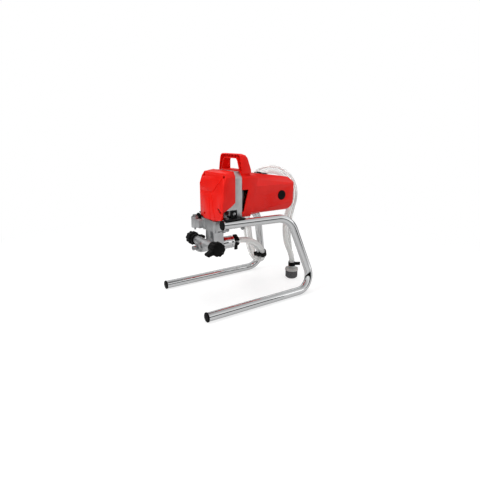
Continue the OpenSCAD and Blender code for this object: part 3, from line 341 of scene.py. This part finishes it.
def named(piece, name):
    """Names an object and its mesh."""
    piece.name = name
    piece.data.name = name
    return piece


@contextmanager
def edit_mode():
    """Edit mode on the active object, with its whole mesh selected."""
    bpy.ops.object.mode_set(mode="EDIT")
    bpy.ops.mesh.select_all(action="SELECT")
    yield
    bpy.ops.object.mode_set(mode="OBJECT")


def modify(kind, **settings):
    """Adds a modifier to the active object and applies it."""
    modifier = active().modifiers.new(kind, kind)
    for key, value in settings.items():
        setattr(modifier, key, value)
    bpy.ops.object.modifier_apply(modifier=modifier.name)


def smooth_below(degrees):
    """Shades the active object smooth, but for edges sharper than an angle."""
    bpy.ops.object.shade_smooth_by_angle(angle=math.radians(degrees))


def rest_on(piece, node):
    """The piece stands for a CAD node, rides on its body and takes its slot's finish."""
    slot = slot_of(node)
    finish(piece, slot)
    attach(piece, body_of(node))
    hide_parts(node)
    return piece


def press_in(piece, through, outward, depth):
    """Flattens a corner of a hollow moulding against a plane, without closing up its wall.

    The square corner stands depth beyond the plane. The mesh is creased a margin behind it, and
    what lies past the crease is squeezed into the margin.
    """
    through, outward = at(*through), Vector(outward).normalized()
    with edit_mode():
        bpy.ops.mesh.bisect(plane_co=through - outward * PRESS_MARGIN, plane_no=outward)
    for vertex in piece.data.vertices:
        beyond = (vertex.co - through).dot(outward)
        if beyond > -PRESS_MARGIN:
            squeeze = PRESS_MARGIN / (PRESS_MARGIN + depth)
            kept = (beyond + PRESS_MARGIN) * squeeze - PRESS_MARGIN
            vertex.co -= outward * (beyond - kept)


def softened(node, name, width, segments=2, corners=()):
    """A copy of a CAD node's mesh whose edges are rounded by a width in metres, as a mould or a
    file leaves them, after the corners given are pressed in."""
    only(frame["nodes"][node])
    bpy.ops.object.duplicate()
    piece = named(active(), name)
    piece.parent = None
    for key in list(piece.keys()):
        if key.startswith("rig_"):
            del piece[key]
    piece.modifiers.clear()
    with edit_mode():
        bpy.ops.mesh.remove_doubles(threshold=MERGE)
        bpy.ops.mesh.dissolve_limited(angle_limit=math.radians(0.5))
    for through, outward, depth in corners:
        press_in(piece, through, outward, depth * MM)
    modify(
        "BEVEL", width=width, segments=segments, limit_method="ANGLE",
        angle_limit=math.radians(28),
    )
    smooth_below(32)
    return rest_on(piece, node)


def tube_along(points, radius, name, sides, wall=0.0):
    """A round tube swept along points: open and with a wall, or closed at its ends and solid."""
    bpy.ops.object.select_all(action="DESELECT")
    bpy.ops.curve.primitive_bezier_curve_add(location=(0, 0, 0))
    line = active().data
    line.splines.clear()
    spline = line.splines.new("POLY")
    spline.points.add(len(points) - 1)
    for knot, point in zip(spline.points, points):
        knot.co = (*point, 1.0)
    line.dimensions = "3D"
    line.twist_mode = "MINIMUM"
    line.bevel_depth = radius
    # a resolution of 0 gives four sides, and each step adds four
    line.bevel_resolution = sides // 4 - 1
    line.use_fill_caps = wall == 0
    bpy.ops.object.convert(target="MESH")
    tube = named(active(), name)
    with edit_mode():
        bpy.ops.mesh.remove_doubles(threshold=0.01 * MM)
        bpy.ops.mesh.normals_make_consistent(inside=False)
    if wall:
        modify("SOLIDIFY", thickness=wall, offset=-1)
    smooth_below(40)
    return tube


def smooth_line(route):
    """Points of the smooth curve, a cubic B-spline, that follows the control points."""
    control = [at(*point) for point in route]
    last = len(control) - 4
    line = []
    for i in range(last + 1):
        a, b, c, d = control[i : i + 4]
        for k in range(CURVE_STEPS + (i == last)):
            t = k / CURVE_STEPS
            line.append(
                (a * (1 - t) ** 3 + b * (3 * t**3 - 6 * t**2 + 4)
                 + c * (-3 * t**3 + 3 * t**2 + 3 * t + 1) + d * t**3) / 6
            )
    return line


def bent_line(corners, radii):
    """Points along straight runs joined by round bends of the given radii."""
    line = [corners[0]]
    for before, corner, after, radius in zip(corners, corners[1:], corners[2:], radii):
        u = (corner - before).normalized()
        v = (after - corner).normalized()
        turn = u.angle(v)
        reach = radius * math.tan(turn / 2)
        inward = (v - u * u.dot(v)).normalized()
        centre = corner - u * reach + inward * radius
        for k in range(BEND_STEPS + 1):
            a = turn * k / BEND_STEPS
            line.append(centre + radius * (-inward * math.cos(a) + u * math.sin(a)))
    return line + [corners[-1]]


# ---- Camera --------------------------------------------------------------------------------

# The camera's place, in millimetres as at() takes it, and in degrees how far it looks down and
# how far it is turned from a look along +Y
CAMERA_PLACE = (927.408, -527.294, 469.415)
CAMERA_DOWN = 15.235
CAMERA_TURN = 56.335
SENSOR_WIDTH = 36.0
FOCAL_LENGTH = 27.6525


class SPRAYER_OT_camera(bpy.types.Operator):
    """Places the camera in front of the pump's right-hand side"""

    bl_idname = "sprayer.camera"
    bl_label = "Camera"

    def execute(self, context):
        lens = bpy.data.cameras.new("camera")
        lens.sensor_width = SENSOR_WIDTH
        lens.lens = FOCAL_LENGTH
        lens.clip_start = 0.01
        eye = bpy.data.objects.new("camera", lens)
        context.scene.collection.objects.link(eye)
        eye.location = at(*CAMERA_PLACE)
        eye.rotation_euler = (math.radians(90 - CAMERA_DOWN), 0, math.radians(CAMERA_TURN))
        context.scene.camera = eye
        return {"FINISHED"}


# ---- Hoses ---------------------------------------------------------------------------------

SUCTION_RADIUS = 9 * MM
RETURN_RADIUS = 4.5 * MM
# Control points of the hoses' centre lines, in millimetres as at() takes them
SUCTION_ROUTE = [
    (0, 44, 166), (0, 80, 166), (0, 116, 166), (8, 160, 144), (3, 182, 107), (-21, 194, 79),
    (-56, 203, 66), (-92, 211, 72), (-119, 221, 93), (-138, 225, 128), (-140, 221, 171),
    (-137, 213, 210), (-137, 207, 248), (-141, 210, 287), (-140, 225, 323), (-128, 249, 351),
    (-102, 274, 366), (-71, 298, 363), (-43, 315, 342), (-25, 321, 308), (-21, 317, 270),
    (-27, 307, 232), (-29, 299, 194), (-24, 295, 155), (-14, 294, 118), (8, 303, 80),
    (8, 303, 44), (8, 303, 8),
]
RETURN_ROUTE = [
    (-43, -34, 164), (-43, -2, 164), (-43, 30, 164), (-40, 78, 164), (-22, 122, 160),
    (-8, 154, 138), (-4, 168, 112), (-18, 178, 86), (-55, 187, 68), (-92, 196, 76),
    (-123, 206, 97), (-145, 211, 129), (-149, 208, 168), (-147, 202, 205), (-146, 195, 243),
    (-151, 197, 281), (-151, 209, 318), (-142, 229, 350), (-122, 254, 373), (-94, 279, 382),
    (-64, 303, 376), (-36, 321, 354), (-17, 330, 321), (-10, 330, 283), (-15, 322, 246),
    (-20, 315, 209), (-21, 311, 170), (-16, 310, 133), (-6, 312, 84), (-6, 312, 48),
    (-6, 312, 12),
]

# The clip low in the hoses' first loop and the one above the strainer's neck: how far along the
# suction hose, from 0 at the pump to 1 at the strainer, which way the tab points, and the height
CLIPS = [
    (0.125, (-0.55, -0.83, 0.0), 19 * MM),
    (0.994, (0.5, 0.86, 0.0), 13 * MM),
]
# Room between a hose and its ring of a clip, and the walls of the two rings
CLIP_PLAY = 0.3 * MM
SUCTION_RING_WALL = 3.0 * MM
RETURN_RING_WALL = 3.2 * MM
# The finger tab begins in the wall of the suction hose's ring and ends outside it, at these
# distances from the hose's axis. Half its thickness, and how far it reaches up and down, as a
# share of the clip's height
TAB_START = 11 * MM
TAB_END = 29 * MM
TAB_HALF = 2.6 * MM
TAB_RISE = 0.42


def collar(bore, wall, height, aside):
    """An open ring about an upright axis that lies aside along X, its wall outside the bore."""
    bpy.ops.object.select_all(action="DESELECT")
    bpy.ops.mesh.primitive_cylinder_add(
        vertices=40, radius=bore, depth=height, end_fill_type="NOTHING", location=(aside, 0, 0)
    )
    with edit_mode():
        bpy.ops.mesh.normals_make_consistent(inside=False)
    modify("SOLIDIFY", thickness=wall, offset=1)
    return active()


def finger_tab(height, turn):
    """A block that stands out from the suction hose's ring, turned about the hose's axis."""
    bpy.ops.object.select_all(action="DESELECT")
    bpy.ops.mesh.primitive_cube_add(size=1, location=((TAB_START + TAB_END) / 2, 0, 0))
    tab = active()
    tab.scale = (TAB_END - TAB_START, 2 * TAB_HALF, 2 * TAB_RISE * height)
    bpy.ops.object.transform_apply(location=True, rotation=False, scale=True)
    tab.data.transform(Matrix.Rotation(turn, 4, "Z"))
    return tab


def hose_clip(line, fraction, beside, wing, height):
    """A moulded double clip round both hoses, with a finger tab that points along wing."""
    k = int(fraction * (len(line) - 1))
    centre = line[k]
    along = (line[k + 1] - line[k - 1]).normalized()
    near = min(beside, key=lambda point: (point - centre).length)
    side = near - centre
    gap = side.length
    side = (side - along * side.dot(along)).normalized()
    across = along.cross(side)
    only(
        collar(SUCTION_RADIUS + CLIP_PLAY, SUCTION_RING_WALL, height, 0),
        collar(RETURN_RADIUS + CLIP_PLAY, RETURN_RING_WALL, height, gap),
        finger_tab(height, math.atan2(wing.dot(across), wing.dot(side))),
    )
    bpy.ops.object.join()
    modify("BEVEL", width=0.6 * MM, segments=2, limit_method="ANGLE")
    placed = Matrix((side, across, along)).transposed().to_4x4()
    placed.translation = centre
    active().data.transform(placed)
    smooth_below(35)
    return active()


class SPRAYER_OT_hoses(bpy.types.Operator):
    """Lays the suction hose and the return hose beside it"""

    bl_idname = "sprayer.hoses"
    bl_label = "Hoses"

    def execute(self, context):
        sizes = context.scene.sprayer_sizes
        line = smooth_line(SUCTION_ROUTE)
        hose = tube_along(
            line, SUCTION_RADIUS, "suction_hose_clear", sides=32, wall=sizes.suction_wall
        )
        rest_on(hose, "suction_hose")
        small_line = smooth_line(RETURN_ROUTE)
        small = tube_along(
            small_line, RETURN_RADIUS, "return_hose_clear", sides=20, wall=sizes.return_wall
        )
        rest_on(small, "return_hose")
        only(*[hose_clip(line, share, small_line, Vector(tab), z) for share, tab, z in CLIPS])
        bpy.ops.object.join()
        clips = rest_on(named(active(), "hose_clips_moulded"), "hose_clips")
        strainer = softened("strainer_cap", "strainer_cap_moulded", 0.8 * MM)
        bowl = softened("strainer_bowl", "strainer_bowl_moulded", 0.2 * MM, segments=1)
        return {"FINISHED"}


# ---- Stand ---------------------------------------------------------------------------------

# One side of the stand, in millimetres: how far out, how far back and how high the corners of the
# tube's centre line lie, from the skid's front end to the top run's, and the radii of its bends
STAND_CORNERS = [(137.5, -105, 13.75), (137.5, 285, 12.28), (86, 217, 239), (70.5, -14, 239)]
STAND_BENDS = (50, 60)
STAND_TUBE_RADIUS = 12.5 * MM


class SPRAYER_OT_stand(bpy.types.Operator):
    """Bends the two chromed tubes of the stand and rounds its plugs, bracket and bolts"""

    bl_idname = "sprayer.stand"
    bl_label = "Stand"

    def execute(self, context):
        radii = [radius * MM for radius in STAND_BENDS]
        for side, node in ((1, "stand_tube_right"), (-1, "stand_tube_left")):
            line = bent_line([at(side * out, y, z) for out, y, z in STAND_CORNERS], radii)
            tube = tube_along(line, STAND_TUBE_RADIUS, node + "_chromed", sides=48)
            rest_on(tube, node)
        softened("end_caps", "end_plugs", 0.9 * MM, segments=3)
        softened("base_bracket", "base_bracket_pressed", 0.5 * MM)
        softened("frame_bolts", "frame_bolts_plated", 0.35 * MM)
        return {"FINISHED"}


# ---- Covers, castings and fittings ---------------------------------------------------------

# The rear housing's edges are rounder than the front cover's by this factor
REAR_ROUNDER = 1.2
CASTING_ROUND = 0.8 * MM
# The tail's upper and lower rear corners: a point on each flat, its outward side, and how far
# the square corner stood beyond it, in millimetres
TAIL_CORNERS = [
    ((0, 249, 353), (0, 0.8, 0.6), 6.5),
    ((0, 233, 259.5), (0, 0.731, -0.683), 13.5),
]
# How far each small fitting's edges are rounded, in millimetres
FITTINGS = {
    "cover_screws": 0.3, "cable_gland": 0.5, "switch_body": 0.4, "switch_rocker": 0.5,
    "brush_caps": 0.5, "pump_bolts": 0.3, "lug_bolt": 0.3, "outlet_fitting": 0.4,
    "inlet_housing": 0.8, "hose_barb": 0.4, "inlet_clamp": 0.6, "return_barb": 0.3,
    "valve_cartridges": 0.4, "prime_knob": 1.2, "pressure_knob": 1.2,
}


class SPRAYER_OT_body(bpy.types.Operator):
    """Rounds the edges of the covers and castings, and flattens the tail's corners"""

    bl_idname = "sprayer.body"
    bl_label = "Covers and castings"

    def execute(self, context):
        width = context.scene.sprayer_sizes.edge_round
        softened("front_cover", "front_cover_moulded", width)
        softened(
            "rear_housing", "rear_housing_moulded", REAR_ROUNDER * width, corners=TAIL_CORNERS
        )
        for node in ("gear_housing", "pump_block", "motor_end_bell"):
            softened(node, node + "_cast", CASTING_ROUND)
        return {"FINISHED"}


class SPRAYER_OT_fittings(bpy.types.Operator):
    """Rounds the edges of the small fittings"""

    bl_idname = "sprayer.fittings"
    bl_label = "Fittings"

    def execute(self, context):
        for node, width in FITTINGS.items():
            softened(node, node + "_finished", width * MM)
        return {"FINISHED"}


class SPRAYER_OT_inside(bpy.types.Operator):
    """Gives the CAD's own pieces, most of them inside the covers, their finishes"""

    bl_idname = "sprayer.inside"
    bl_label = "Inside"

    def execute(self, context):
        for name, node in frame["nodes"].items():
            finish(node, slot_of(name))
        return {"FINISHED"}


# ---- Stage ---------------------------------------------------------------------------------

# The floor's side in metres, and how far it lies under the stand, so that the two don't touch
FLOOR_SIZE = 60
FLOOR_DROP = 0.2 * MM
# The floor keeps the shadow out to the first distance from the middle and has lost it at the
# second, in metres
SHADOW_KEPT = 0.5
SHADOW_GONE = 1.3
# The grey that the lamps light near the stand, which is what the shadow darkens
SHADOW_GREY = 0.36
# How brightly the paper glows near the stand, on top of that grey, and far from it, each as the
# eye sees it and as metal mirrors it
PAPER_NEAR = (0.72, 0.32)
PAPER_FAR = (1.0, 0.5)
# The light that the room adds from all sides
AMBIENT = 0.23
# The room as metal mirrors it, from the horizon, 0, to overhead, 1: a dark strip above the floor,
# which chrome shows as dark lines, under a pale wall and ceiling
ROOM_BANDS = [
    (0.0, "#101010"), (0.25, "#101010"), (0.29, "#ECECEC"), (0.5, "#F4F4F4"), (0.8, "#C8C8C8"),
    (1.0, "#A8A8A8"),
]
# Lamps: name, place in metres, width, height, power in watts, and whether metal mirrors it
LAMPS = [
    ("key", (-0.1, -1.8, 1.5), 1.0, 1.0, 27, False),
    ("fill", (1.9, -0.4, 0.9), 1.2, 1.0, 9, False),
    ("top", (-0.2, 0.4, 2.2), 1.8, 1.8, 27, False),
    ("rear card", (1.35, 1.75, 0.5), 1.3, 0.95, 3.4, True),
]
# The point that all of them face, in metres
LAMPS_AIM = Vector((0, 0, 0.2))


def seen_directly(tree, ray, *more):
    """1 for camera and transmission rays, and for the further kinds named."""
    seen = ray["Is Camera Ray"]
    for kind in ("Is Transmission Ray", *more):
        either = add(tree, "ShaderNodeMath", {"operation": "MAXIMUM"}, i0=seen, i1=ray[kind])
        seen = either.outputs[0]
    return seen


def floor_paint(colour):
    """White paper that fades into the backdrop and keeps a soft shadow where it is seen."""
    made = bpy.data.materials.new("matt paper")
    made.use_nodes = True
    tree = made.node_tree
    tree.nodes.clear()
    ray = add(tree, "ShaderNodeLightPath").outputs
    place = add(tree, "ShaderNodeTexCoord").outputs["Object"]
    reach = add(tree, "ShaderNodeVectorMath", {"operation": "LENGTH"}, i0=place)
    far = add(
        tree, "ShaderNodeMapRange", {"From Min": SHADOW_KEPT, "From Max": SHADOW_GONE},
        Value=reach.outputs["Value"],
    )
    plain = add(tree, "ShaderNodeBsdfDiffuse", {"Color": (*colour, 1.0)})
    shade = add(tree, "ShaderNodeBsdfDiffuse", {"Color": (*[SHADOW_GREY] * 3, 1.0)})
    glows = []
    for seen, mirrored in (PAPER_NEAR, PAPER_FAR):
        level = add(
            tree, "ShaderNodeMapRange", {"To Min": seen, "To Max": mirrored},
            Value=ray["Is Glossy Ray"],
        )
        glows.append(add(tree, "ShaderNodeEmission", {}, Strength=level.outputs[0]).outputs[0])
    near = add(tree, "ShaderNodeAddShader", {}, i0=shade.outputs[0], i1=glows[0])
    shown = add(
        tree, "ShaderNodeMixShader", {}, i0=far.outputs[0], i1=near.outputs[0], i2=glows[1]
    )
    both = add(
        tree, "ShaderNodeMixShader", {}, i0=seen_directly(tree, ray, "Is Glossy Ray"),
        i1=plain.outputs[0], i2=shown.outputs[0],
    )
    add(tree, "ShaderNodeOutputMaterial", {}, Surface=both.outputs[0])
    return made


def backdrop():
    """A white room: plain to the eye, even in the light it gives, and banded to metal."""
    world = bpy.data.worlds.new("studio")
    world.use_nodes = True
    tree = world.node_tree
    ambient = tree.nodes["Background"]
    ambient.inputs["Color"].default_value = (1, 1, 1, 1)
    ambient.inputs["Strength"].default_value = AMBIENT
    ray = add(tree, "ShaderNodeLightPath").outputs
    place = add(tree, "ShaderNodeTexCoord").outputs["Generated"]
    height = add(tree, "ShaderNodeSeparateXYZ", {}, Vector=place).outputs["Z"]
    bands = add(tree, "ShaderNodeValToRGB", {}, Fac=height)
    ramp = bands.color_ramp
    # a new ramp has its first and last stop, at 0 and 1
    for stop, (_, code) in zip(ramp.elements, (ROOM_BANDS[0], ROOM_BANDS[-1])):
        stop.color = linear(code)
    for position, code in ROOM_BANDS[1:-1]:
        ramp.elements.new(position).color = linear(code)
    room = add(tree, "ShaderNodeBackground", {}, Color=bands.outputs["Color"])
    white = add(tree, "ShaderNodeBackground", {"Color": (1, 1, 1, 1), "Strength": 1.0})
    lit = add(
        tree, "ShaderNodeMixShader", {}, i0=ray["Is Glossy Ray"], i1=ambient.outputs[0],
        i2=room.outputs[0],
    )
    both = add(
        tree, "ShaderNodeMixShader", {}, i0=seen_directly(tree, ray), i1=lit.outputs[0],
        i2=white.outputs[0],
    )
    tree.links.new(both.outputs[0], tree.nodes["World Output"].inputs["Surface"])
    return world


class SPRAYER_OT_stage(bpy.types.Operator):
    """Lays the pale floor and hangs the soft lamps"""

    bl_idname = "sprayer.stage"
    bl_label = "Stage"

    def execute(self, context):
        bpy.ops.object.select_all(action="DESELECT")
        bpy.ops.mesh.primitive_grid_add(x_subdivisions=8, y_subdivisions=8, size=FLOOR_SIZE)
        floor = active()
        floor.name = "floor"
        with edit_mode():
            bpy.ops.transform.translate(value=(0, 0, -FLOOR_DROP))
        floor.data.materials.append(floor_paint(context.scene.sprayer_sizes.floor_colour))
        for name, place, width, height, power, mirrored in LAMPS:
            light = bpy.data.lights.new(name, "AREA")
            light.shape = "RECTANGLE"
            light.size = width
            light.size_y = height
            light.energy = power
            lamp = bpy.data.objects.new(name, light)
            context.scene.collection.objects.link(lamp)
            lamp.location = place
            lamp.visible_camera = False
            lamp.visible_glossy = mirrored
            aim = LAMPS_AIM - lamp.location
            lamp.rotation_euler = aim.to_track_quat("-Z", "Y").to_euler()
        context.scene.world = backdrop()
        context.scene.view_settings.view_transform = "Standard"
        return {"FINISHED"}


# ---- Add-on --------------------------------------------------------------------------------

OPERATORS = [
    SPRAYER_OT_camera, SPRAYER_OT_hoses, SPRAYER_OT_stand, SPRAYER_OT_body,
    SPRAYER_OT_fittings, SPRAYER_OT_inside, SPRAYER_OT_stage,
]


class SPRAYER_PT_panel(bpy.types.Panel):
    """Shows the sprayer's sizes and its steps in the sidebar"""

    bl_idname = "SPRAYER_PT_panel"
    bl_label = "Sprayer"
    bl_space_type = "VIEW_3D"
    bl_region_type = "UI"
    bl_category = "Sprayer"

    def draw(self, context):
        for key in Sizes.__annotations__:
            self.layout.prop(context.scene.sprayer_sizes, key)
        for operator in OPERATORS:
            self.layout.operator(operator.bl_idname)


CLASSES = [Sizes, *OPERATORS, SPRAYER_PT_panel]


def register():
    for each in CLASSES:
        bpy.utils.register_class(each)
    bpy.types.Scene.sprayer_sizes = bpy.props.PointerProperty(type=Sizes)


def unregister():
    del bpy.types.Scene.sprayer_sizes
    for each in reversed(CLASSES):
        bpy.utils.unregister_class(each)


def main():
    register()
    for operator in OPERATORS:
        group, name = operator.bl_idname.split(".")
        getattr(getattr(bpy.ops, group), name)()


if __name__ == "__main__":
    main()
